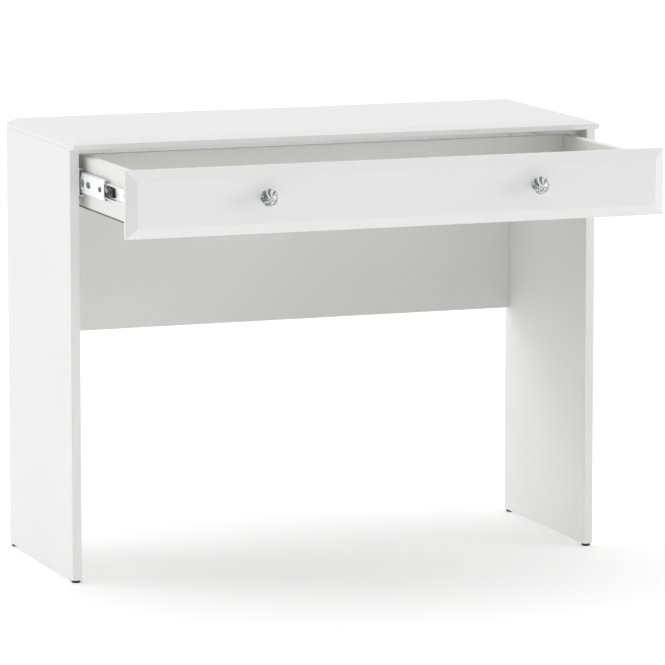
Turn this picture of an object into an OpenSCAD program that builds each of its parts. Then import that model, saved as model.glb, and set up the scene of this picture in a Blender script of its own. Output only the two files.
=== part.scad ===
// Writing desk with one wide drawer on ball-bearing slides.
// X runs left to right, Y front to back and Z up from the floor.
// The origin is under the middle of the whole desk, with the drawer standing open as drawn.

/* [Desk] */
// Overall width, over the outer faces of the side panels
desk_w = 950; // [700:10:1200]
// Height of the worktop above the floor
desk_h = 750; // [600:5:900]
// Depth of the side panels
side_d = 362; // [300:2:520]
// How far the top stands out in front of the side panels
top_overhang = 18; // [10:1:40]
// Thickness of the carcass boards
board_t = 16; // [15:1:25]

/* [Bevels] */
// Width of the sloping border of the top and the drawer front
bevel_w = 18; // [6:1:30]
// Height of the upright edge that is left under the top's bevel
top_edge_t = 9; // [5:0.5:12]
// Thickness of the edge that is left behind the drawer front's bevel
front_edge_t = 8; // [5:0.5:12]

/* [Back panel] */
// Height of the panel that closes the back under the top
modesty_h = 359; // [150:1:420]
// How far the panel is set in from the back edges of the side panels
modesty_inset = 2; // [0:0.5:20]

/* [Drawer] */
// Width that the drawer front leaves free at each end
front_side_gap = 1.5; // [1:0.5:4]
// Gap between the drawer front and the top above it
front_top_gap = 3.5; // [1:0.5:8]
// Gap between the closed drawer front and the side panels, filled by the pads
closed_gap = 2; // [1:0.25:4]
// Thickness of the drawer's sides and back
box_board_t = 15; // [12:1:18]
// Height of the drawer's sides and back, which the front's height follows
box_h = 84; // [60:1:120]
// Height of the drawer box's underside above the lower edge of the front
box_lift = 15; // [4:1:30]
// Height of the front's upper edge above the drawer's sides
box_drop = 10; // [4:1:30]
// Thickness of the drawer bottom
box_bottom_t = 3; // [3:0.5:6]
// Free space behind the closed drawer box
box_back_gap = 10; // [5:1:60]
// How far short of its end stop the drawer stands
open_margin = 20; // [0:5:100]

/* [Slides] */
// Height of the cabinet rail
rail_h = 45; // [42:1:46]
// Thickness of the whole slide, from the cabinet to the drawer side
rail_t = 12.7; // [12.6:0.1:13.2]
// Distance of the rails behind the front edge of the side panels
rail_setback = 2.5; // [2:0.5:10]
// The part of the drawer's travel that the middle rail makes
middle_share = 0.455; // [0.4:0.005:0.5]
// Balls in each row of a cage
balls_per_row = 8; // [4:1:10]

/* [Knobs] */
// Distance between the two knobs
knob_spacing = 476; // [200:2:640]
// Height of the knobs above the middle of the drawer front
knob_up = 6.5; // [0:0.5:20]
// Diameter of the crystal ball
crystal_d = 30; // [20:1:40]
// Length of the metal base, from the drawer front to the ball's seat
base_l = 9.5; // [8:0.5:20]

/* [Feet] */
// Diameter of a glide
glide_d = 15; // [12:1:24]
// Thickness of a glide
glide_t = 4.5; // [3:0.5:10]
// Distance of a glide's middle from the end of the panel
glide_inset = 9; // [8:1:60]

/* [Fittings] */
// Distance of a cam lock's middle from the joint
cam_setback = 24; // [20:1:34]
// Diameter of a cam lock
cam_d = 15; // [12:1:16]
// Diameter of a wooden dowel
dowel_d = 8; // [6:1:9]
// Length of a wooden dowel
dowel_l = 30; // [25:1:35]

/* [Hidden] */

$fn = 48;
// Extra length of a cutting body past the face it cuts
cut = 1;
// Radial clearance of a fitting in its drilled hole
fit = 0.1;
left = -1;
right = 1;

// Carcass, up and down
underside_z = desk_h - board_t;
panel_h = underside_z - glide_t;
inner_w = desk_w - 2 * board_t;
modesty_z = underside_z - modesty_h;

// Drawer box length and the standard rail length that fits beside it
box_d = side_d - modesty_inset - board_t - closed_gap - box_back_gap;
rail_step = 50;
rail_l = rail_step * floor(box_d / rail_step);
drawer_open = rail_l - open_margin;
middle_open = drawer_open * middle_share;

// Carcass, front to back
crystal_sunk = 0.05;
crystal_out = base_l + crystal_d * (0.5 - crystal_sunk);
knob_reach = crystal_out + crystal_d / 2;
front_reach = closed_gap + drawer_open + board_t + knob_reach;
mouth_y = (front_reach - side_d) / 2;
back_y = mouth_y + side_d;
top_front_y = mouth_y - top_overhang;
modesty_y = back_y - modesty_inset - board_t;
modesty_mid_y = modesty_y + board_t / 2;
side_mid_x = (inner_w + board_t) / 2;

// Drawer
front_w = desk_w - 2 * front_side_gap;
front_h = box_lift + box_bottom_t + box_h + box_drop;
front_top_z = underside_z - front_top_gap;
front_z = front_top_z - front_h;
front_back_y = mouth_y - closed_gap - drawer_open;
front_face_y = front_back_y - board_t;
box_w = inner_w - 2 * rail_t;
box_z = front_z + box_lift;
box_side_z = box_z + box_bottom_t;
box_back_y = front_back_y + box_d - box_board_t;
box_side_mid_x = (box_w - box_board_t) / 2;
knob_z = front_z + front_h / 2 + knob_up;

// Slides. Across a slide, x runs from the cabinet side to the drawer side.
slide_z = box_side_z + box_h / 2;
steel_t = 1.2;
cage_t = 0.6;
outer_top = rail_h / 2;
middle_top = outer_top - steel_t - 3.8;
inner_top = middle_top - steel_t - 3.7;
outer_lip_x = 9.5;
outer_cage_x = 1.6;
middle_x = 2.6;
middle_step = 0.7;
middle_lip_x = 10;
inner_cage_x = 4.5;
inner_x = 5.6;
ball_d = 3.1;
outer_ball_z = (outer_top - steel_t + middle_top) / 2;
inner_ball_z = (middle_top - steel_t + inner_top) / 2;
outer_ball_x = 5.8;
inner_ball_x = 7.4;
cage_l = 100;
outer_rail_y = mouth_y + rail_setback;
middle_rail_y = outer_rail_y - middle_open;
inner_rail_y = outer_rail_y - drawer_open;
// The outer cage lies midway between cabinet rail and middle rail, the inner one a little past the end
outer_cage_y = outer_rail_y + rail_l / 4 - middle_open / 2;
inner_cage_y = middle_rail_y - 4;
cabinet_screw_at = [25, 120, rail_l - 28];
drawer_screw_at = [35, 104, rail_l - 35];
// Slots punched in the webs, each as distance from the rail's front end, length and height
cabinet_slots = [[60, 16, 6], [180, 16, 6]];
middle_slots = [[22, 16, 9], [84, 23, 10.5], [114, 15, 14], [rail_l - 60, 20, 8]];
drawer_slots = [[72, 12, 5], [196, 12, 5], [232, 12, 5]];
// How far each cage reaches past the middle of its balls, across the slide
outer_cage_past = 2.6;
inner_cage_past = 2.4;

// Release lever on the drawer rail
lever_at = 130;
lever_l = 28;
lever_h = 17;
lever_x = 6.4;
lever_t = 3.6;
rivet_d = 4;

// Fittings
bolt_thread_d = 6;
bolt_thread_l = 11;
bolt_shank_d = 6.6;
bolt_hole_d = 8;
cam_behind_bolt = 4.4;
cover_d = 16;
cover_t = 0.8;
dowel_in_face = 10;

// Places of the cam fittings: where the boards meet, and how the fitting is turned.
// The bolt's thread is held by the first board and +Z of the fitting points into the second,
// whose cam lock opens along +Y of the fitting.
bolt_from_end = 60;
dowel_from_end = 105;
top_bolt_ys = [mouth_y + bolt_from_end, back_y - bolt_from_end];
modesty_bolt_zs = [modesty_z + bolt_from_end, underside_z - bolt_from_end];
modesty_bolt_xs = [-inner_w / 4, inner_w / 4];
turn_left_top = [180, 0, 90];
turn_right_top = [180, 0, -90];
turn_left_end = [0, 90, 0];
turn_right_end = [0, -90, 0];
turn_down = [0, 180, 0];
top_to_left = [for (y = top_bolt_ys) [[-side_mid_x, y, underside_z], turn_left_top]];
top_to_right = [for (y = top_bolt_ys) [[side_mid_x, y, underside_z], turn_right_top]];
left_to_modesty = [for (z = modesty_bolt_zs) [[-inner_w / 2, modesty_mid_y, z], turn_left_end]];
right_to_modesty = [for (z = modesty_bolt_zs) [[inner_w / 2, modesty_mid_y, z], turn_right_end]];
top_to_modesty = [for (x = modesty_bolt_xs) [[x, modesty_mid_y, underside_z], turn_down]];
cam_places = concat(top_to_left, top_to_right, left_to_modesty, right_to_modesty, top_to_modesty);

// Dowels stand beside the bolts, with the same turns
top_dowel_ys = [mouth_y + dowel_from_end, back_y - dowel_from_end];
modesty_dowel_zs = [modesty_z + dowel_from_end, underside_z - dowel_from_end];
modesty_dowel_xs = [-inner_w / 2.6, 0, inner_w / 2.6];
dowels_top_left = [for (y = top_dowel_ys) [[-side_mid_x, y, underside_z], turn_left_top]];
dowels_top_right = [for (y = top_dowel_ys) [[side_mid_x, y, underside_z], turn_right_top]];
dowels_left_end = [for (z = modesty_dowel_zs) [[-inner_w / 2, modesty_mid_y, z], turn_left_end]];
dowels_right_end = [for (z = modesty_dowel_zs) [[inner_w / 2, modesty_mid_y, z], turn_right_end]];
dowels_top_modesty = [for (x = modesty_dowel_xs) [[x, modesty_mid_y, underside_z], turn_down]];
dowel_places = concat(
    dowels_top_left, dowels_top_right, dowels_left_end, dowels_right_end, dowels_top_modesty
);

// Drawer front to drawer sides: one cam at mid height with a dowel above and below it
turn_drawer_left = [-90, -90, 0];
turn_drawer_right = [-90, 90, 0];
drawer_bolt_z = slide_z - box_h / 6;
drawer_dowel_zs = [box_side_z + 10, box_side_z + box_h - 12];
drawer_cams_left = [[[-box_side_mid_x, front_back_y, drawer_bolt_z], turn_drawer_left]];
drawer_cams_right = [[[box_side_mid_x, front_back_y, drawer_bolt_z], turn_drawer_right]];
drawer_dowels_left = [
    for (z = drawer_dowel_zs) [[-box_side_mid_x, front_back_y, z], turn_drawer_left]
];
drawer_dowels_right = [
    for (z = drawer_dowel_zs) [[box_side_mid_x, front_back_y, z], turn_drawer_right]
];

// Screws that hold the drawer's back between its sides
back_screw_zs = [box_side_z + 14, box_side_z + box_h - 14];
back_screw_l = 48;
back_screw_d = 5;
back_screw_head_d = 9;
back_screw_head_t = 3;

// Nails that hold the drawer bottom up against the sides and the back
nail_d = 1.6;
nail_l = 18;
nail_head_d = 5;
nail_head_t = 0.7;
side_nail_count = 4;
back_nail_count = 5;

// Short fixing screws of the slides
rail_screw_d = 3.5;
rail_screw_l = 12;
rail_screw_head_d = 6.6;
rail_screw_head_t = 1.4;

// Knob
base_d = 15;
knob_screw_d = 4;
knob_screw_in_base = 6.5;
knob_screw_head_d = 8;
knob_screw_head_t = 2.5;

// Small parts
pad_d = 9;
pad_t = closed_gap - 0.3;
glide_nail_d = 2.4;
glide_nail_l = 16;
glide_nail_head_d = 6;
glide_nail_head_t = 1;

white = [0.93, 0.93, 0.93];
zinc = [0.75, 0.76, 0.78];
black = [0.06, 0.06, 0.06];

module at(place) {
    translate(place[0]) rotate(place[1]) children();
}

// --- cam bolt, cam lock and dowel, each about a joint plane at z = 0 ---

// Depth of a cam lock in a board of the given thickness
function cam_depth(thick) = thick / 2 + cam_behind_bolt;

module cam_bolt() {
    translate([0, 0, -bolt_thread_l]) cylinder(d = bolt_thread_d, h = bolt_thread_l);
    cylinder(d = bolt_shank_d, h = 1.5);
    cylinder(d = 4.6, h = cam_setback - 3);
    translate([0, 0, cam_setback - 3]) cylinder(d = bolt_shank_d, h = 5);
}

module cam_bolt_thread_hole() {
    depth = bolt_thread_l + 0.5;
    translate([0, 0, -depth]) cylinder(r = bolt_thread_d / 2 + fit, h = depth + cut);
}

module cam_bolt_shank_hole() {
    translate([0, 0, -cut]) cylinder(d = bolt_hole_d, h = cam_setback + cut);
}

// The pocket opens on the face that lies half a board from the middle
module cam_pocket(thick) {
    translate([0, -cam_behind_bolt - fit, cam_setback])
        rotate([-90, 0, 0]) cylinder(r = cam_d / 2 + fit, h = cam_depth(thick) + fit + cut);
}

// A round lock with a cross slot for the screwdriver, hollowed on the joint's side for the bolt's head
module cam_lock(thick) {
    lock_h = cam_depth(thick) - 0.2;
    slot_l = 8;
    slot_w = 1.8;
    slot_depth = 2.5;
    past_middle = 3;
    translate([0, -cam_behind_bolt, cam_setback]) rotate([-90, 0, 0]) difference() {
        cylinder(d = cam_d, h = lock_h);
        for (turn = [0, 90]) rotate([0, 0, turn])
            translate([-slot_l / 2, -slot_w / 2, lock_h - slot_depth])
                cube([slot_l, slot_w, slot_depth + cut]);
        translate([0, 0, cam_behind_bolt]) rotate([-90, 0, 0]) translate([0, 0, -past_middle])
            cylinder(d = bolt_hole_d, h = cam_d);
    }
}

module cam_cover(thick) {
    translate([0, thick / 2, cam_setback]) rotate([-90, 0, 0]) cylinder(d = cover_d, h = cover_t);
}

module dowel() {
    translate([0, 0, -dowel_in_face]) cylinder(d = dowel_d, h = dowel_l);
}

module dowel_hole() {
    translate([0, 0, -dowel_in_face - 0.5]) cylinder(r = dowel_d / 2 + fit, h = dowel_l + 1);
}

// --- boards ---

// A board whose outline narrows toward one face, over two mitred profiles.
// Each profile is given as points across the board and through its thickness.
module mitred_board(across, along, length_across, length_along) {
    intersection() {
        rotate([90, 0, 0]) linear_extrude(height = length_along, center = true) polygon(across);
        rotate([90, 0, 90]) linear_extrude(height = length_across, center = true) polygon(along);
    }
}

module top_panel() {
    half_w = desk_w / 2;
    across = [
        [-half_w, 0], [half_w, 0], [half_w, top_edge_t],
        [half_w - bevel_w, board_t], [-half_w + bevel_w, board_t], [-half_w, top_edge_t]
    ];
    along = [
        [top_front_y, 0], [back_y, 0], [back_y, board_t],
        [top_front_y + bevel_w, board_t], [top_front_y, top_edge_t]
    ];
    color(white) difference() {
        translate([0, 0, underside_z])
            mitred_board(across, along, desk_w + 2 * cut, 4 * (side_d + front_reach));
        for (place = concat(top_to_left, top_to_right, top_to_modesty)) at(place) cam_bolt_thread_hole();
        for (place = concat(dowels_top_left, dowels_top_right, dowels_top_modesty)) at(place) dowel_hole();
    }
}

module side_panel(side) {
    cams = side == left ? top_to_left : top_to_right;
    bolts = side == left ? left_to_modesty : right_to_modesty;
    edge_dowels = side == left ? dowels_top_left : dowels_top_right;
    face_dowels = side == left ? dowels_left_end : dowels_right_end;
    color(white) difference() {
        translate([side * side_mid_x - board_t / 2, mouth_y, glide_t]) cube([board_t, side_d, panel_h]);
        for (place = cams) at(place) cam_bolt_shank_hole();
        for (place = cams) at(place) cam_pocket(board_t);
        for (place = bolts) at(place) cam_bolt_thread_hole();
        for (place = concat(edge_dowels, face_dowels)) at(place) dowel_hole();
        for (y = glide_ys) translate([side * side_mid_x, y, 0])
            cylinder(r = glide_nail_d / 2 + fit, h = glide_nail_l + glide_t);
        for (y = cabinet_screw_at) at_slide(side, outer_rail_y + y) rail_screw_hole(0);
    }
}

module left_side_panel() side_panel(left);
module right_side_panel() side_panel(right);

module modesty_panel() {
    cams = concat(left_to_modesty, right_to_modesty, top_to_modesty);
    dowels = concat(dowels_left_end, dowels_right_end, dowels_top_modesty);
    color(white) difference() {
        translate([-inner_w / 2, modesty_y, modesty_z]) cube([inner_w, board_t, modesty_h]);
        for (place = cams) at(place) cam_bolt_shank_hole();
        for (place = cams) at(place) cam_pocket(board_t);
        for (place = dowels) at(place) dowel_hole();
    }
}

module cam_bolts() {
    color(zinc) for (place = cam_places) at(place) cam_bolt();
}

module cam_locks() {
    color(zinc) for (place = cam_places) at(place) cam_lock(board_t);
}

module cam_covers() {
    color(white) for (place = cam_places) at(place) cam_cover(board_t);
}

module wooden_dowels() {
    color([0.82, 0.68, 0.47]) for (place = dowel_places) at(place) dowel();
}

// --- glides under the side panels ---

glide_ys = [mouth_y + glide_inset, back_y - glide_inset];

module glide(side, y) {
    rim = 0.8;
    color(black) translate([side * side_mid_x, y, 0]) difference() {
        union() {
            cylinder(d1 = glide_d - 2 * rim, d2 = glide_d, h = rim);
            translate([0, 0, rim]) cylinder(d = glide_d, h = glide_t - rim);
        }
        translate([0, 0, -cut]) cylinder(r = glide_nail_d / 2 + fit, h = glide_t + 2 * cut);
        translate([0, 0, -cut]) cylinder(r = glide_nail_head_d / 2 + fit, h = glide_t / 2 + cut);
    }
}

module front_left_glide() glide(left, glide_ys[0]);
module front_right_glide() glide(right, glide_ys[0]);
module back_left_glide() glide(left, glide_ys[1]);
module back_right_glide() glide(right, glide_ys[1]);

module glide_nails() {
    color(zinc) for (side = [left, right], y = glide_ys) translate([side * side_mid_x, y, glide_t / 2]) {
        translate([0, 0, -glide_nail_head_t]) cylinder(d = glide_nail_head_d, h = glide_nail_head_t);
        cylinder(d = glide_nail_d, h = glide_nail_l);
    }
}

// --- slides ---

// Puts a left-hand slide piece in place: x from the cabinet side, y from the given start
module at_slide(side, y) {
    translate([side * inner_w / 2, y, slide_z]) mirror([side == right ? 1 : 0, 0, 0]) children();
}

// Extrudes a slide profile, drawn as x across the slide and z up, along +Y
module along_y(length) {
    translate([0, length, 0]) rotate([90, 0, 0]) linear_extrude(height = length) children();
}

// A channel with its web at the low x, and flanges that end at lip_x
module channel_profile(x, lip_x, top, thick) {
    difference() {
        translate([x, -top]) square([lip_x - x, 2 * top]);
        translate([x + thick, -top + thick]) square([lip_x - x, 2 * (top - thick)]);
    }
}

module rail_screw_hole(web_x) {
    translate([web_x, 0, 0]) rotate([0, -90, 0])
        translate([0, 0, -cut]) cylinder(r = rail_screw_d / 2 + fit, h = rail_screw_l + 2 * cut);
}

// Slots through a web that starts at the given x
module slots_through(x, slots) {
    for (slot = slots) translate([x, slot[0], 0]) rotate([0, 90, 0]) round_slot(slot[1], slot[2]);
}

// A round-ended slot along Y, from a bar and two discs
module round_slot(length, height) {
    straight = length - height;
    translate([-height / 2, -straight / 2, -cut]) cube([height, straight, 4 * cut + steel_t]);
    for (end = [-1, 1]) translate([0, end * straight / 2, -cut]) cylinder(d = height, h = 4 * cut + steel_t);
}

module cabinet_rail(side) {
    lip = 0.9;
    color(zinc) at_slide(side, outer_rail_y) difference() {
        along_y(rail_l) {
            channel_profile(0, outer_lip_x, outer_top, steel_t);
            for (up = [-1, 1])
                translate([outer_lip_x - steel_t, up * (outer_top - steel_t - lip / 2) - lip / 2])
                    square([steel_t, lip]);
        }
        for (y = cabinet_screw_at) translate([0, y, 0]) rotate([0, 90, 0]) {
            translate([0, 0, -cut]) cylinder(r = rail_screw_d / 2 + fit, h = steel_t + 2 * cut);
            translate([0, 0, steel_t - 0.9]) cylinder(r = rail_screw_head_d / 2 + fit, h = steel_t);
        }
        slots_through(0, cabinet_slots);
    }
}

module left_cabinet_rail() cabinet_rail(left);
module right_cabinet_rail() cabinet_rail(right);

module cabinet_rail_screws() {
    color(zinc) for (side = [left, right], y = cabinet_screw_at) at_slide(side, outer_rail_y + y) {
        translate([steel_t - 0.9, 0, 0]) rotate([0, 90, 0]) cylinder(d = rail_screw_head_d, h = 0.8);
        translate([steel_t - 0.5, 0, 0]) rotate([0, -90, 0]) cylinder(d = rail_screw_d, h = rail_screw_l);
    }
}

// The web's middle band stands out toward the cabinet and the flanges start a step further in
module middle_profile() {
    band = middle_top - 6;
    x1 = middle_x;
    x2 = middle_x + middle_step;
    in1 = x1 + steel_t;
    in2 = x2 + steel_t;
    low = middle_top - steel_t;
    polygon([
        [x1, -band], [x2, -band - 1], [x2, -middle_top], [middle_lip_x, -middle_top], [middle_lip_x, -low],
        [in2, -low], [in2, -band - 0.6], [in1, -band + 0.4], [in1, band - 0.4], [in2, band + 0.6],
        [in2, low], [middle_lip_x, low], [middle_lip_x, middle_top], [x2, middle_top], [x2, band + 1],
        [x1, band]
    ]);
}

module middle_rail(side) {
    color(zinc) at_slide(side, middle_rail_y) difference() {
        along_y(rail_l) middle_profile();
        slots_through(middle_x, middle_slots);
    }
}

module left_middle_rail() middle_rail(left);
module right_middle_rail() middle_rail(right);

// Distance of ball number i from the front end of its cage
function ball_y(i) = cage_l / balls_per_row * (i + 0.5);

// A folded strip that keeps two rows of balls apart, with a hole for each ball
module ball_cage(x, lip_x, ball_x, ball_z) {
    difference() {
        along_y(cage_l) channel_profile(x, lip_x, ball_z + cage_t / 2, cage_t);
        for (i = [0:balls_per_row - 1]) translate([ball_x, ball_y(i), -ball_z - ball_d])
            cylinder(r = ball_d / 2 + fit, h = 2 * (ball_z + ball_d));
    }
}

module ball_rows(ball_x, ball_z) {
    for (i = [0:balls_per_row - 1], up = [-1, 1]) translate([ball_x, ball_y(i), up * ball_z])
        sphere(d = ball_d);
}

module outer_cage(side) {
    lip_x = outer_ball_x + outer_cage_past;
    color(zinc) at_slide(side, outer_cage_y) ball_cage(outer_cage_x, lip_x, outer_ball_x, outer_ball_z);
}

module outer_balls(side) {
    color([0.85, 0.86, 0.88]) at_slide(side, outer_cage_y) ball_rows(outer_ball_x, outer_ball_z);
}

module inner_cage(side) {
    lip_x = inner_ball_x + inner_cage_past;
    color(zinc) at_slide(side, inner_cage_y) ball_cage(inner_cage_x, lip_x, inner_ball_x, inner_ball_z);
}

module inner_balls(side) {
    color([0.85, 0.86, 0.88]) at_slide(side, inner_cage_y) ball_rows(inner_ball_x, inner_ball_z);
}

module left_outer_cage() outer_cage(left);
module right_outer_cage() outer_cage(right);
module left_outer_balls() outer_balls(left);
module right_outer_balls() outer_balls(right);
module left_inner_cage() inner_cage(left);
module right_inner_cage() inner_cage(right);
module left_inner_balls() inner_balls(left);
module right_inner_balls() inner_balls(right);

// The drawer rail's web lies on the drawer side and its flanges point at the cabinet
module drawer_rail(side) {
    web_x = rail_t - steel_t;
    color(zinc) at_slide(side, inner_rail_y) difference() {
        along_y(rail_l) translate([rail_t, 0]) mirror([1, 0])
            channel_profile(0, rail_t - inner_x, inner_top, steel_t);
        for (y = drawer_screw_at) translate([web_x - cut, y, 0]) rotate([0, 90, 0])
            cylinder(r = rail_screw_d / 2 + fit, h = steel_t + 2 * cut);
        translate([web_x - cut, lever_at, 0]) rotate([0, 90, 0])
            cylinder(r = rivet_d / 2 + fit, h = steel_t + 2 * cut);
        slots_through(web_x, drawer_slots);
    }
}

module left_drawer_rail() drawer_rail(left);
module right_drawer_rail() drawer_rail(right);

module drawer_rail_screws() {
    web_x = rail_t - steel_t;
    color(zinc) for (side = [left, right], y = drawer_screw_at) at_slide(side, inner_rail_y + y) {
        translate([web_x - rail_screw_head_t, 0, 0]) rotate([0, 90, 0])
            cylinder(d1 = rail_screw_head_d - 2, d2 = rail_screw_head_d, h = rail_screw_head_t);
        translate([web_x, 0, 0]) rotate([0, 90, 0]) cylinder(d = rail_screw_d, h = rail_screw_l);
    }
}

// Outline of the release lever, y to the back and z up from its rivet: a block whose front end
// tapers and runs out in a finger tab at the bottom
tab_back = 9.8;
taper_h = 0.76;
lever_outline = [
    [lever_l / 2, -lever_h / 2], [lever_l / 2, lever_h / 2], [0, lever_h / 2 - 0.4],
    [-tab_back + 1.8, lever_h / 2 * taper_h], [-tab_back, -lever_h / 6], [-lever_l / 2, -lever_h / 2]
];

// A flat lever on a rivet at its middle
module release_lever(side) {
    rivet_fit = 0.05;
    color(black) at_slide(side, inner_rail_y + lever_at) translate([lever_x, 0, 0]) difference() {
        rotate([90, 0, 90]) linear_extrude(height = lever_t) polygon(lever_outline);
        translate([-cut, 0, 0]) rotate([0, 90, 0])
            cylinder(r = rivet_d / 2 + rivet_fit, h = lever_t + 2 * cut);
    }
}

module left_release_lever() release_lever(left);
module right_release_lever() release_lever(right);

module lever_rivets() {
    head_d = 7;
    head_t = 0.7;
    head_x = lever_x - 0.3 - head_t;
    color(zinc) for (side = [left, right]) at_slide(side, inner_rail_y + lever_at) {
        translate([head_x, 0, 0]) rotate([0, 90, 0]) cylinder(d = head_d, h = head_t);
        translate([head_x, 0, 0]) rotate([0, 90, 0]) cylinder(d = rivet_d, h = rail_t - head_x);
    }
}

// --- drawer ---

module drawer_front() {
    half_w = front_w / 2;
    half_h = front_h / 2;
    bevel_t = board_t - front_edge_t;
    across = [
        [-half_w, 0], [half_w, 0], [half_w, front_edge_t],
        [half_w - bevel_w, board_t], [-half_w + bevel_w, board_t], [-half_w, front_edge_t]
    ];
    upward = [
        [-half_h, 0], [half_h, 0], [half_h, front_edge_t],
        [half_h - bevel_w, board_t], [-half_h + bevel_w, board_t], [-half_h, front_edge_t]
    ];
    color(white) difference() {
        translate([0, front_back_y, front_z + half_h]) rotate([90, 0, 0])
            mitred_board(across, upward, front_w + 2 * cut, front_h + 2 * cut);
        for (side = [left, right]) translate([side * knob_spacing / 2, front_back_y + cut, knob_z])
            rotate([90, 0, 0]) cylinder(r = knob_screw_d / 2 + fit, h = board_t + 2 * cut);
        for (place = concat(drawer_cams_left, drawer_cams_right)) at(place) cam_bolt_thread_hole();
        for (place = concat(drawer_dowels_left, drawer_dowels_right)) at(place) dowel_hole();
    }
}

module drawer_side(side) {
    cams = side == left ? drawer_cams_left : drawer_cams_right;
    dowels = side == left ? drawer_dowels_left : drawer_dowels_right;
    color(white) difference() {
        translate([side * box_side_mid_x - box_board_t / 2, front_back_y, box_side_z])
            cube([box_board_t, box_d, box_h]);
        for (place = cams) at(place) cam_bolt_shank_hole();
        for (place = cams) at(place) cam_pocket(box_board_t);
        for (place = dowels) at(place) dowel_hole();
        for (z = back_screw_zs) at_back_screw(side, z) back_screw(fit);
        for (y = drawer_screw_at) at_slide(side, inner_rail_y + y) translate([rail_t, 0, 0])
            rotate([0, 90, 0]) cylinder(r = rail_screw_d / 2 + fit, h = rail_screw_l + cut);
        for (y = side_nail_ys) translate([side * box_side_mid_x, y, box_side_z - cut])
            cylinder(r = nail_d / 2 + fit, h = nail_l + cut);
    }
}

module drawer_left_side() drawer_side(left);
module drawer_right_side() drawer_side(right);

module drawer_back() {
    length = box_w - 2 * box_board_t;
    color(white) difference() {
        translate([-length / 2, box_back_y, box_side_z]) cube([length, box_board_t, box_h]);
        for (side = [left, right], z = back_screw_zs) at_back_screw(side, z) back_screw(fit);
        for (x = back_nail_xs) translate([x, box_back_y + box_board_t / 2, box_side_z - cut])
            cylinder(r = nail_d / 2 + fit, h = nail_l + cut);
    }
}

// Even steps between a first and a last value
function steps(first, last, count) = [for (i = [0:count - 1]) first + (last - first) * i / (count - 1)];

nail_from_end = 60;
nail_from_back = 30;
side_nail_ys = steps(front_back_y + nail_from_end, box_back_y - nail_from_back, side_nail_count);
back_nail_xs = steps(-box_w / 2 + nail_from_end, box_w / 2 - nail_from_end, back_nail_count);

module bottom_nail_places() {
    for (side = [left, right], y = side_nail_ys) translate([side * box_side_mid_x, y, box_z]) children();
    for (x = back_nail_xs) translate([x, box_back_y + box_board_t / 2, box_z]) children();
}

module drawer_bottom() {
    color([0.88, 0.87, 0.84]) difference() {
        translate([-box_w / 2, front_back_y, box_z]) cube([box_w, box_d, box_bottom_t]);
        bottom_nail_places() translate([0, 0, -cut])
            cylinder(r = nail_d / 2 + fit, h = box_bottom_t + 2 * cut);
    }
}

module drawer_bottom_nails() {
    color(zinc) bottom_nail_places() {
        translate([0, 0, -nail_head_t]) cylinder(d = nail_head_d, h = nail_head_t);
        cylinder(d = nail_d, h = nail_l);
    }
}

module drawer_cam_bolts() {
    color(zinc) for (place = concat(drawer_cams_left, drawer_cams_right)) at(place) cam_bolt();
}

module drawer_cam_locks() {
    color(zinc)
        for (place = concat(drawer_cams_left, drawer_cams_right)) at(place) cam_lock(box_board_t);
}

module drawer_dowels() {
    color([0.82, 0.68, 0.47])
        for (place = concat(drawer_dowels_left, drawer_dowels_right)) at(place) dowel();
}

// Runs inward from the outer face of a drawer side
module at_back_screw(side, z) {
    translate([side * box_w / 2, box_back_y + box_board_t / 2, z]) rotate([0, -90 * side, 0]) children();
}

module back_screw(extra) {
    translate([0, 0, extra > 0 ? -cut : 0]) cylinder(
        r = back_screw_head_d / 2 + extra, h = back_screw_head_t + (extra > 0 ? cut : 0)
    );
    cylinder(r = back_screw_d / 2 + extra, h = back_screw_l + extra);
}

module drawer_back_screws() {
    color(zinc) for (side = [left, right], z = back_screw_zs) at_back_screw(side, z) back_screw(0);
}

// Pads on the back of the front, where it meets the side panels
module bumper_pads() {
    pad_inset = 24;
    pad_zs = [front_z + pad_inset, front_top_z - pad_inset];
    color([0.9, 0.9, 0.9]) for (side = [left, right], z = pad_zs)
        translate([side * side_mid_x, front_back_y + pad_t, z])
            rotate([90, 0, 0]) cylinder(d = pad_d, h = pad_t);
}

// --- knobs ---

module at_knob(side) {
    translate([side * knob_spacing / 2, front_face_y, knob_z]) rotate([90, 0, 0]) children();
}

module knob_base(side) {
    seat_d = 12.4;
    neck_d = 8.6;
    rim_t = 1.6;
    cone_h = 2.4;
    seat_t = 1.4;
    flare_h = 2;
    color([0.82, 0.83, 0.85]) at_knob(side) difference() {
        union() {
            cylinder(d = base_d, h = rim_t);
            translate([0, 0, rim_t]) cylinder(d1 = base_d - 1, d2 = neck_d, h = cone_h);
            cylinder(d = neck_d, h = base_l - 1);
            translate([0, 0, base_l - seat_t - flare_h]) cylinder(d1 = neck_d, d2 = seat_d, h = flare_h);
            translate([0, 0, base_l - seat_t]) cylinder(d = seat_d, h = seat_t);
        }
        translate([0, 0, -cut]) cylinder(r = knob_screw_d / 2 + fit, h = knob_screw_in_base + 0.3 + cut);
    }
}

module left_knob_base() knob_base(left);
module right_knob_base() knob_base(right);

// A cut ball: rings of flat facets, with a flat at the back that sits on the base
module knob_crystal(side) {
    radius = crystal_d / 2;
    rings = 7;
    first = asin((base_l - crystal_out) / radius);
    last = 78;
    angles = steps(first, last, rings);
    ring_points = [for (a = angles) [radius * cos(a), crystal_out + radius * sin(a)]];
    front_flat = [[0, crystal_out + radius * sin(last)]];
    color([0.9, 0.93, 0.95, 0.6]) at_knob(side) rotate_extrude($fn = 12)
        polygon(concat([[0, base_l]], ring_points, front_flat));
}

module left_knob_crystal() knob_crystal(left);
module right_knob_crystal() knob_crystal(right);

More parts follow.
